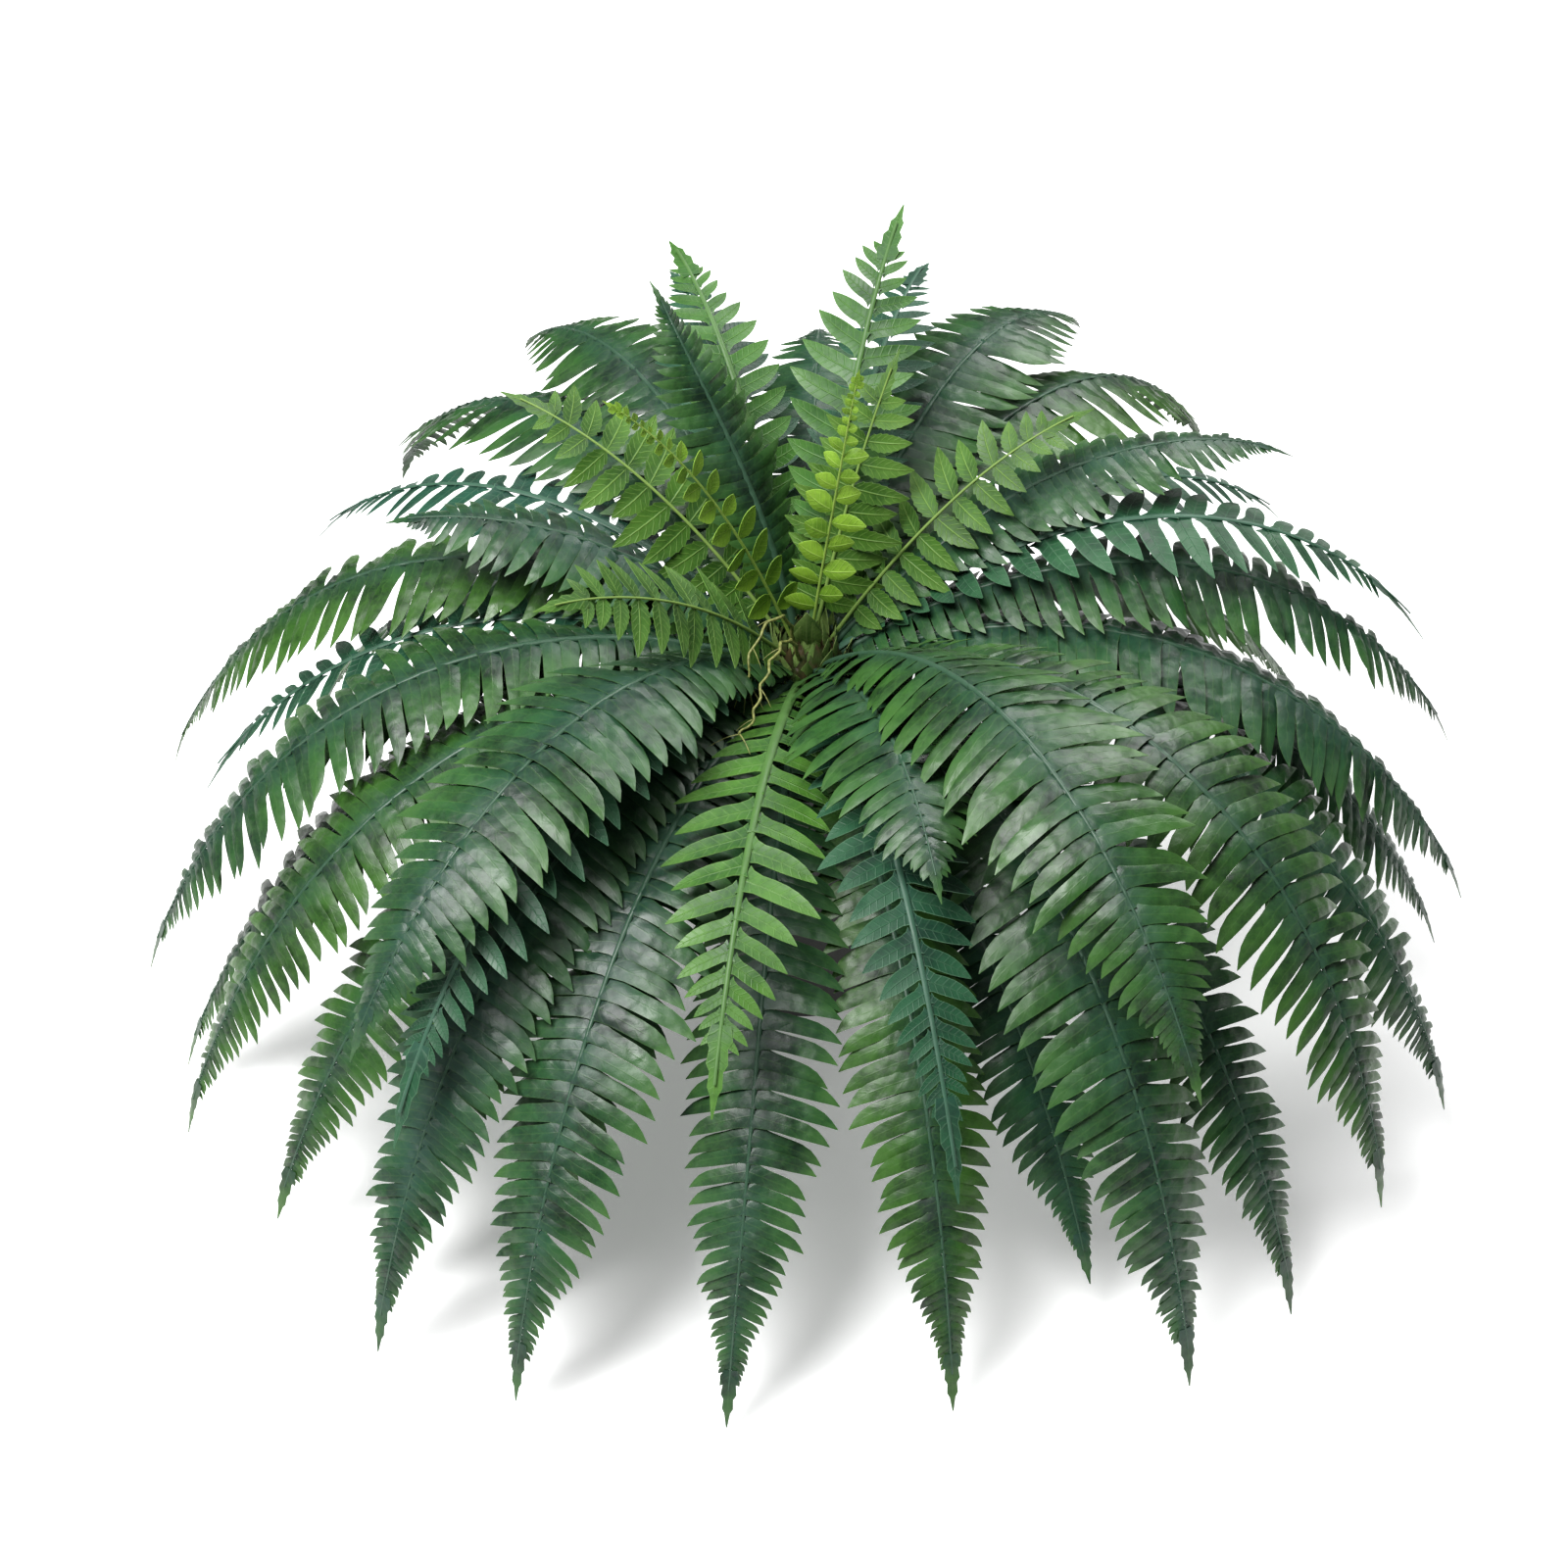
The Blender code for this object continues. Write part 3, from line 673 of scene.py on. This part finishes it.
def grow_frond(node, kind, finish):
    look = FROND_KINDS[kind]
    course = frond_course(node)
    length = course["length"]
    template = TEMPLATES[look["leaflet"]]
    gathered = Gathered()
    frond_tint = between()
    sway = stray(0.006)
    roll = stray(0.16)
    droop = look["tilt"] * between(0.4, 2.2)
    openness = between(0.88, 1.06)
    phase = between() * math.tau
    widest = course["half_width"].max()
    pitch = look["pitch"] * (widest / FULL_HALF_WIDTH[kind]) ** 0.8

    def add_part(part, places, tint, midrib=0.0, flip=False):
        bent = bend_along(course, places, sway, roll, phase)
        gathered.add(part, bent, tint, frond_tint, midrib, flip)

    first, last = look["start"] * length, (1.0 - look["bare_end"]) * length
    at = first
    while at < last:
        share = at / length
        edge = float(np.interp(at, course["travelled"], course["half_width"]))
        edge *= float(np.interp(share, (0.6, 0.8, 0.9, 1.0), (1.0, 0.92, 0.86, 1.0)))
        edge = max(edge, widest * float(np.interp(share, *look["foot"])))
        lean = lean_at(share, look["lean"])
        narrowing = max(min(edge / widest, 1.0), 0.22)
        step = pitch * narrowing ** (0.75 if share > 0.5 else 0.35)
        for side in (-1, 1):
            stagger = 0.5 * step if side > 0 and not look["paired"] else 0.0
            here = at + stagger
            reach = max(edge, LEAST_REACH) / math.cos(lean) * look["reach"]
            reach *= 1.0 + stray(look["scatter"])
            breadth = step * look["fill"] * openness
            breadth *= 1.0 + stray(0.4 * look["scatter"])
            breadth = min(breadth, reach * 0.9)
            tilt = droop + stray(look["scatter"])
            twist = look["twist"] + stray(look["scatter"])
            here_lean = lean + stray(0.6 * look["scatter"])
            places = lay_leaflet(template, here, reach, breadth, here_lean, side, tilt, twist)
            add_part(template, places, between(), flip=side > 0)
        at += step
    end_reach = length - last + 2 * TIP_OVERLAP
    end_width = min(look["tip_width"], end_reach * 0.28)
    end_places = lay_leaflet(
        TEMPLATES["tip"], last - TIP_OVERLAP, end_reach, end_width, math.pi / 2, 1, TIP_TILT, 0.0)
    add_part(TEMPLATES["tip"], end_places, 0.5, flip=True)
    rib = lay_rib(-RIB_SUNK, length * RIB_END_SHARE, *look["rib"], *look["depth"], lift=RIB_LIFT)
    add_part(RIB, rib, 0.3, midrib=1.0)
    gathered.build(f"{node}_leaf", LEAF_FINISH[finish], node)
    return len(gathered.faces)


# %% [markdown]
# ## Growing every frond
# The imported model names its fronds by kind, so a loop grows them all.

# %% Grow the whole bush
PREFIX_KINDS = {"broad_frond": ("broad", "broad"), "strap_frond": ("strap", "strap"),
                "light_frond": ("strap", "light"), "leaflet_spray": ("leaflet", "leaflet"),
                "button_spray": ("button", "button")}
FULL_HALF_WIDTH = {"broad": 0.057, "strap": 0.048, "leaflet": 0.042, "button": 0.024}

total_faces = 0
for node in sorted(NODES):
    prefix = node.rsplit("_", 1)[0]
    if prefix in PREFIX_KINDS:
        kind, finish = PREFIX_KINDS[prefix]
        total_faces += grow_frond(node, kind, finish)
print("fronds grown with", total_faces, "faces")

# %% [markdown]
# ## Crown
# The fronds spring from a knot of old stem bases. Its body starts as a sphere of the crown's size;
# the lower part is drawn out into a foot, and a Displace modifier with a cloud texture makes it
# lumpy. Brown scales that clasp the stems are one small leaf shape, copied over the dome.

# %% Shape the crown's body
def start_piece(name):
    """Name the primitive just added and open it for work on its vertices."""
    piece = bpy.context.object
    piece.name = name
    bpy.ops.object.mode_set(mode="EDIT")
    bpy.ops.mesh.select_mode(type="VERT")
    return piece


def apply_modifier(piece, kind, **settings):
    modifier = piece.modifiers.new(kind.lower(), kind)
    for option, value in settings.items():
        setattr(modifier, option, value)
    bpy.context.view_layer.objects.active = piece
    bpy.ops.object.modifier_apply(modifier=modifier.name)


def settle(piece, node, material):
    """Move a piece's place into its mesh, give it its finish, attach it to the root and hide its imported
    node.
    """
    deselect_all()
    piece.select_set(True)
    bpy.context.view_layer.objects.active = piece
    bpy.ops.object.transform_apply(location=True, rotation=True, scale=True)
    piece.data.materials.clear()
    piece.data.materials.append(material)
    hand_over(piece, node)
    print(piece.name, "has", len(piece.data.polygons), "faces")


def clouds(name, size, depth=2):
    texture = bpy.data.textures.new(name, "CLOUDS")
    texture.noise_scale = size
    texture.noise_depth = depth
    return texture


husk_material, tree, shader, where = new_material("crown_husk")
fibres = noise(tree, where, 220.0, 4.0, 0.6, stretch=(1.0, 1.0, 0.12))
patches = noise(tree, where, 45.0, 3.0)
brown = blend_colours(tree, ramp(tree, fibres, 0.35, 0.65), (0.012, 0.009, 0.004), (0.058, 0.044, 0.018))
husk_colour = blend_colours(tree, ramp(tree, patches, 0.46, 0.60), brown, (0.034, 0.060, 0.012))
feed(tree, shader, {
    "Base Color": husk_colour, "Normal": bump(tree, fibres, 0.0012),
    "Roughness": ramp(tree, patches, 0.0, 1.0), "Specular IOR Level": 0.25})

FOOT_HEIGHT = crown_low.z + 0.002
LOWER_PART = -0.022
DRAWN_OUT = 0.016
FOOT_PART = -0.044
deselect_all()
bpy.ops.mesh.primitive_uv_sphere_add(
    segments=48, ring_count=28, radius=CROWN_RADIUS, location=CROWN_CENTRE)
crown = start_piece("crown_body")
select_in_edit_mode(crown, lambda co: co.z < LOWER_PART)
bpy.ops.transform.translate(value=(0.0, 0.0, -DRAWN_OUT))
select_in_edit_mode(crown, lambda co: co.z < FOOT_PART)
bpy.ops.transform.resize(value=(1.0, 1.0, 0.0), center_override=(0.0, 0.0, FOOT_HEIGHT))
bpy.ops.mesh.select_all(action="SELECT")
bpy.ops.mesh.subdivide(number_cuts=1, smoothness=0.0)
bpy.ops.object.mode_set(mode="OBJECT")
apply_modifier(crown, "DISPLACE", texture=clouds("knots", 0.012, 3), strength=0.006, mid_level=0.6)
bpy.ops.object.shade_smooth()
settle(crown, "crown", husk_material)

# %% [markdown]
# Scales are small pointed sheets. Each stands on the dome, turned up and out, in rows that circle
# the crown by the golden angle, the way a plant sets its leaves.

# %% Set the husk scales round the crown
SCALE_COUNT = 170
SCALE_SUNK = 0.003
GOLDEN_ANGLE = math.radians(137.508)
scale_template = take_template(shape_leaflet("husk_scale", [
    (0, 3.6, 0, 0, 1.0), (4, 4.4, 0, 0.6, 1.2), (9, 3.6, 0, 1.0, 1.0), (14, 2.0, 0, 0.9, 0.5),
    (19, 0.2, 0, 0.3, 0)]))


def dome_place(index, count, down_to, opening):
    """Direction of one spot on the dome, and the turn that stands a flat leaf there."""
    height_share = 1.0 - down_to * (index + 0.5) / count
    angle = index * GOLDEN_ANGLE
    ring = math.sqrt(max(0.0, 1.0 - height_share ** 2))
    outward = Vector((ring * math.cos(angle), ring * math.sin(angle), height_share))
    upward = Vector((0.0, 0.0, 1.0)) - outward * outward.z
    upward = upward.normalized() if upward.length > 0.05 else Vector((1.0, 0.0, 0.0))
    pointing = (upward * 0.85 + outward * opening).normalized()
    sideways = pointing.cross(outward).normalized()
    facing = sideways.cross(pointing)
    return outward, np.array([pointing, -sideways, facing])


scales = Gathered()
for index in range(SCALE_COUNT):
    outward, turn = dome_place(index, SCALE_COUNT, 1.45, between(0.15, 0.75))
    size = between(0.7, 1.25)
    foot = np.array(CROWN_CENTRE + outward * (CROWN_RADIUS - SCALE_SUNK))
    stood = scale_template["places"] * size @ turn + foot
    scales.add(scale_template, stood, between(), 0.5)
scales.build("crown_scales", husk_material, "crown")
print("scales:", SCALE_COUNT)

# %% [markdown]
# ## Pale sheath
# At the very top a pale pointed sheath wraps the youngest stems. It is a cupped sheet, bent along
# its packed curve, with a second and smaller one inside it. The crown's top carries more such
# sheaths, small ones, that guard buds and stem bases.

# %% Shape the sheath
sheath_material = leaf_material(
    "sheath_leaf", (0.060, 0.130, 0.020), (0.170, 0.280, 0.070), (0.200, 0.300, 0.070),
    (0.330, 0.420, 0.160), (0.150, 0.200, 0.080), LIGHT_LOOK)
sheath_template = take_template(shape_leaflet("sheath", [
    (0, 5.0, 0, 1.5, -4.0), (8, 9.0, 0, 2.5, -5.0), (16, 11.0, 0, 3.0, -5.0), (24, 9.6, 0, 2.4, -4.2),
    (32, 6.4, 0, 1.4, -2.8), (39, 3.2, 0, 0.5, -1.2), (45, 0.4, 0, 0, 0)]))
sheath_course = frond_course("sheath_01")
sheath = Gathered()
for share, across, tint in ((1.0, 0.0, 0.2), (0.72, 0.004, 0.8), (0.6, -0.005, 0.5)):
    flat = sheath_template["places"] * share + np.array((-0.002, across, 0.0))
    sheath.add(sheath_template, bend_along(sheath_course, flat), tint, tint)
sheath.build("sheath_leaves", sheath_material, "sheath_01")

# %% [markdown]
# The small sheaths are the same leaf, narrowed and turned over so that it cups the crown. They are
# set by the golden angle too, and only over the upper half.

# %% Set small sheaths over the crown's top
BUD_SHEATHS = 64
BUD_SUNK = 0.004
buds = Gathered()
for index in range(BUD_SHEATHS):
    outward, turn = dome_place(index, BUD_SHEATHS, 0.95, between(0.5, 1.1))
    size = between(0.34, 0.72)
    foot = np.array(CROWN_CENTRE + outward * (CROWN_RADIUS - BUD_SUNK))
    flat = sheath_template["places"] * (size, size * 0.8, -size)
    leaflet_tint, frond_tint = between(), between()
    buds.add(sheath_template, flat @ turn + foot, leaflet_tint, frond_tint, flip=True)
buds.build("bud_sheaths", sheath_material, "crown")

# %% [markdown]
# ## Aerial roots
# Two thin roots leave the crown, arch over and hang. A real one is never a clean arc: it zigzags a
# little between its knots, thins to a thread, and splits at the end. We stretch the straight midrib
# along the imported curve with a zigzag, and add short side roots and a claw of five.

# %% Draw the aerial roots
root_material, tree, shader, where = new_material("aerial_root")
grain = noise(tree, where, 300.0, 3.0)
olive = blend_colours(tree, ramp(tree, grain, 0.35, 0.65), (0.085, 0.095, 0.016), (0.240, 0.250, 0.070))
feed(tree, shader, {"Base Color": olive, "Normal": bump(tree, grain, 0.0006), "Roughness": 0.55})
ROOT_CORNERS = 8
ROOT_RADIUS = 0.0016
ROOT_END_RADIUS = 0.0009
TWIG_RADIUS = 0.0007


def thread_course(node):
    rings = [ring for ring in rings_of(node, ROOT_CORNERS) if len(ring) >= ROOT_CORNERS // 2]
    centres = np.array([ring.mean(axis=0) for ring in rings])
    heading = (centres[-1] - centres[0]) * (1.0, 1.0, 0.0)
    side = np.array((-heading[1], heading[0], 0.0)) / np.linalg.norm(heading)
    return smooth_course(centres, np.full(len(centres), ROOT_RADIUS), side, finer=3)


def zigzag(flat, length, swing, knots):
    """Push points sideways and up in a rounded zigzag that grows from nothing at the foot."""
    share = np.clip(flat[:, 0] / length, 0.0, 1.0)
    fade_in = np.minimum(share * 4.0, 1.0)
    pushed = flat.copy()
    pushed[:, 1] += np.arcsin(np.sin(share * knots * math.pi)) * swing * 0.64 * fade_in
    pushed[:, 2] += np.arcsin(np.sin((share * knots + 0.5) * math.pi)) * swing * 0.32 * fade_in
    return pushed


def side_root(roots, course, at, length, angle, rise, radius):
    """A short straight thread that leaves the root at the given angle."""
    start = bend_along(course, np.array([[at, 0.0, 0.0]]))[0]
    ahead = bend_along(course, np.array([[at + 0.004, 0.0, 0.0]]))[0]
    heading = (ahead - start) / np.linalg.norm(ahead - start)
    towards = heading * math.cos(angle) + course["side"] * math.sin(angle) + np.array((0.0, 0.0, rise))
    steps = np.linspace(0.0, 1.0, 5)[:, None]
    curl = np.array((0.0, 0.0, -0.35)) * steps ** 2
    points = start + (towards * steps + curl) * length
    twig = smooth_course(points, np.full(5, radius), course["side"], finer=3)
    flat = lay_rib(0.0, twig["length"], radius, radius * 0.3, radius, radius * 0.3)
    roots.add(RIB, bend_along(twig, flat), 0.5, 0.5, midrib=1.0)


ROOT_PLANS = {
    "aerial_root_01": {"swing": 0.0016, "knots": 9, "claw": 5, "sides": [0.55, 0.8]},
    "aerial_root_02": {"swing": 0.0020, "knots": 14, "claw": 2, "sides": [0.45, 0.7, 0.88]},
}
for node, plan in ROOT_PLANS.items():
    course = thread_course(node)
    roots = Gathered()
    flat = lay_rib(-0.004, course["length"], ROOT_RADIUS, ROOT_END_RADIUS, ROOT_RADIUS, ROOT_END_RADIUS)
    wavy = zigzag(flat, course["length"], plan["swing"], plan["knots"])
    roots.add(RIB, bend_along(course, wavy), 0.5, 0.5, 1.0)
    for finger in range(plan["claw"]):
        spread = (finger / max(plan["claw"] - 1, 1) - 0.5) * 1.7
        side_root(roots, course, course["length"] - 0.001, 0.020, spread, 0.10, ROOT_END_RADIUS)
    for number, share in enumerate(plan["sides"]):
        angle = 0.9 if number % 2 else -0.9
        side_root(roots, course, course["length"] * share, 0.012, angle, -0.2, TWIG_RADIUS)
    roots.build(f"{node}_thread", root_material, node)
print("aerial roots:", ", ".join(ROOT_PLANS))

# %% [markdown]
# ## Soil
# Potting soil is dark and crumbly. The block starts as a cylinder that fills the pot; its top is
# inset ring by ring and raised to the mound, then subdivided and displaced. Crumbs are one rough
# lump, copied with its own turn and size over the surface.

# %% Fill the pot with soil
soil_material, tree, shader, where = new_material("soil_mix")
grit = noise(tree, where, 260.0, 5.0, 0.65)
damp = noise(tree, where, 22.0, 3.0)
earth = blend_colours(tree, ramp(tree, grit, 0.35, 0.68), (0.007, 0.005, 0.003), (0.045, 0.028, 0.016))
earth = blend_colours(tree, ramp(tree, damp, 0.45, 0.7), earth, (0.016, 0.010, 0.006))
feed(tree, shader, {
    "Base Color": earth, "Normal": bump(tree, grit, 0.0022), "Roughness": 0.95,
    "Specular IOR Level": 0.15})

soil_low, soil_high = (Vector(corner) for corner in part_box("soil"))
soil_radius = soil_high.x
SOIL_MOUND = 0.006
SOIL_CLEARANCE = 0.002
SOIL_TAPER = 0.72
soil_edge = soil_high.z - SOIL_MOUND - SOIL_CLEARANCE
SOIL_RINGS = [(0.010, 0.003), (0.014, 0.003), (0.016, 0.002), (0.016, 0.0), (0.014, 0.0)]
deselect_all()
bpy.ops.mesh.primitive_cylinder_add(vertices=72, radius=soil_radius, depth=soil_edge - soil_low.z,
                                    location=(0.0, 0.0, (soil_edge + soil_low.z) / 2))
soil = start_piece("soil_block")
select_in_edit_mode(soil, lambda co: co.z < 0.0)
bpy.ops.transform.resize(value=(SOIL_TAPER, SOIL_TAPER, 1.0), center_override=(0.0, 0.0, soil_low.z))
select_in_edit_mode(soil, lambda co: co.z > 0.0)
for inset, rise in SOIL_RINGS:
    bpy.ops.mesh.inset(thickness=inset)
    bpy.ops.transform.translate(value=(0.0, 0.0, rise))
bpy.ops.mesh.select_all(action="SELECT")
bpy.ops.mesh.quads_convert_to_tris()
select_in_edit_mode(soil, lambda co: co.z > (soil_edge - soil_low.z) / 2 - 0.0001)
bpy.ops.mesh.subdivide(number_cuts=3)
bpy.ops.object.mode_set(mode="OBJECT")
lumps = soil.vertex_groups.new(name="top")
top_height = (soil_edge - soil_low.z) / 2 + 0.0005
lumps.add([v.index for v in soil.data.vertices if v.co.z > top_height], 1.0, "REPLACE")
apply_modifier(soil, "DISPLACE", texture=clouds("clods", 0.010, 3), strength=0.005, mid_level=0.6,
               vertex_group="top", direction="Z")
bpy.ops.object.shade_smooth()
settle(soil, "soil", soil_material)

# %% [markdown]
# A crumb is a small rough ball, shaped with a strong Displace modifier. The square root of an even
# chance spreads its copies evenly over the soil, and they leave out the middle, under the crown.

# %% Scatter crumbs on the soil
CRUMBS = 520
deselect_all()
bpy.ops.mesh.primitive_ico_sphere_add(subdivisions=2, radius=1.0)
crumb = bpy.context.object
apply_modifier(crumb, "DISPLACE", texture=clouds("crumb", 0.8, 1), strength=0.9, mid_level=0.5)
crumb_template = take_template(crumb)
crumbs = Gathered()
for index in range(CRUMBS):
    spot = math.sqrt(between(0.10, 1.0)) * (soil_radius - 0.004)
    angle = between(0.0, math.tau)
    mound = float(np.interp(spot, (0.0, soil_radius * 0.5, soil_radius), (SOIL_MOUND, SOIL_MOUND, 0.0)))
    spin, tumble = between(0.0, math.tau), between(0.0, math.tau)
    turn = np.array(Matrix.Rotation(spin, 3, "Z") @ Matrix.Rotation(tumble, 3, "X"))
    size = between(0.0008, 0.0026) * np.array((1.0, between(0.6, 1.0), 0.75))
    place = np.array((spot * math.cos(angle), spot * math.sin(angle), soil_edge + mound + 0.0012))
    turned = (crumb_template["places"] @ turn) * size
    crumbs.add(crumb_template, turned + place, between(), 0.5)
crumbs.build("soil_crumbs", soil_material, "soil")
print("crumbs:", CRUMBS)

# %% [markdown]
# ## Pot
# The pot is a plain moulded one. It starts as a cylinder: the foot is scaled in for the taper, the
# wall is cut with a plane where the rim band begins, the band is pushed out, and the top is inset
# and pressed down for the inside. Bevels roll the rim, and cutters bored through the floor leave
# the drainage holes.

# %% Model the pot
pot_high = Vector(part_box("pot")[1])
POT_HEIGHT = pot_high.z
RIM_RADIUS = pot_high.x
FOOT_RADIUS = 0.066
BAND_HEIGHT = 0.022
BAND_STEP = 0.004
POT_WALL = 0.003
POT_FLOOR = 0.004
wall_radius = RIM_RADIUS - BAND_STEP
middle = POT_HEIGHT / 2
band_foot = POT_HEIGHT - BAND_HEIGHT - middle
deselect_all()
bpy.ops.mesh.primitive_cylinder_add(
    vertices=96, radius=wall_radius, depth=POT_HEIGHT, location=(0.0, 0.0, middle))
pot = start_piece("pot_shell")
bpy.ops.mesh.select_all(action="SELECT")
bpy.ops.mesh.bisect(plane_co=(0.0, 0.0, POT_HEIGHT - BAND_HEIGHT), plane_no=(0.0, 0.0, 1.0))
select_in_edit_mode(pot, lambda co: co.z < -middle + 0.001)
foot_scale = FOOT_RADIUS / wall_radius
bpy.ops.transform.resize(value=(foot_scale, foot_scale, 1.0), center_override=(0.0, 0.0, 0.0))


def select_faces(edited, chosen):
    """Select just the faces for which chosen(middle, normal) is true."""
    mesh_builder = bmesh.from_edit_mesh(edited.data)
    for face in mesh_builder.faces:
        face.select = chosen(face.calc_center_median(), face.normal)
    bmesh.update_edit_mesh(edited.data)


bpy.ops.mesh.select_mode(type="FACE")
select_faces(pot, lambda at, facing: at.z > band_foot and abs(facing.z) < 0.5)
bpy.ops.mesh.extrude_region_shrink_fatten(TRANSFORM_OT_shrink_fatten={"value": BAND_STEP})
select_faces(pot, lambda at, facing: facing.z > 0.9 and at.xy.length < 0.001)
bpy.ops.mesh.inset(thickness=POT_WALL)
inside_depths = [(BAND_HEIGHT, 1.0), (POT_HEIGHT - BAND_HEIGHT - POT_FLOOR, 0.76)]
for depth, narrowing in inside_depths:
    bpy.ops.mesh.extrude_region_move(TRANSFORM_OT_translate={"value": (0.0, 0.0, -depth)})
    bpy.ops.transform.resize(value=(narrowing, narrowing, 1.0), center_override=(0.0, 0.0, 0.0))
select_faces(pot, lambda at, facing: facing.z < -0.9 and at.z < -middle + 0.001)
bpy.ops.mesh.inset(thickness=0.005)
bpy.ops.mesh.inset(thickness=0.0015, depth=-0.0012)
bpy.ops.mesh.select_mode(type="EDGE")
bpy.ops.object.mode_set(mode="OBJECT")
apply_modifier(pot, "BEVEL", width=0.0011, segments=3, limit_method="ANGLE",
               angle_limit=math.radians(40.0))
bpy.ops.object.shade_smooth_by_angle(angle=math.radians(35.0))

# %% [markdown]
# Each drainage hole is bored by a cylinder that stands through the floor, as a Boolean modifier.

# %% Bore the drainage holes
DRAIN_HOLES = 6
DRAIN_CIRCLE = 0.038
DRAIN_RADIUS = 0.005
for hole in range(DRAIN_HOLES):
    angle = math.tau * hole / DRAIN_HOLES
    place = (DRAIN_CIRCLE * math.cos(angle), DRAIN_CIRCLE * math.sin(angle), 0.0)
    deselect_all()
    bpy.ops.mesh.primitive_cylinder_add(vertices=32, radius=DRAIN_RADIUS, depth=0.02, location=place)
    cutter = bpy.context.object
    apply_modifier(pot, "BOOLEAN", operation="DIFFERENCE", object=cutter, solver="EXACT")
    bpy.data.objects.remove(cutter, do_unlink=True)

pot_material, tree, shader, where = new_material("pot_plastic")
grain = noise(tree, where, 700.0, 2.0)
scuffs = noise(tree, where, 28.0, 5.0, 0.7)
dust = ramp(tree, noise(tree, where, 9.0, 3.0), 0.45, 0.75)
charcoal = blend_colours(tree, ramp(tree, scuffs, 0.4, 0.7), (0.020, 0.020, 0.019), (0.034, 0.034, 0.032))
charcoal = blend_colours(tree, times(tree, dust, 0.18), charcoal, (0.120, 0.112, 0.100))
feed(tree, shader, {
    "Base Color": charcoal, "Roughness": ramp(tree, scuffs, 0.0, 1.0, 0.38, 0.66),
    "Normal": bump(tree, grain, 0.0002, 0.7)})
settle(pot, "pot", pot_material)
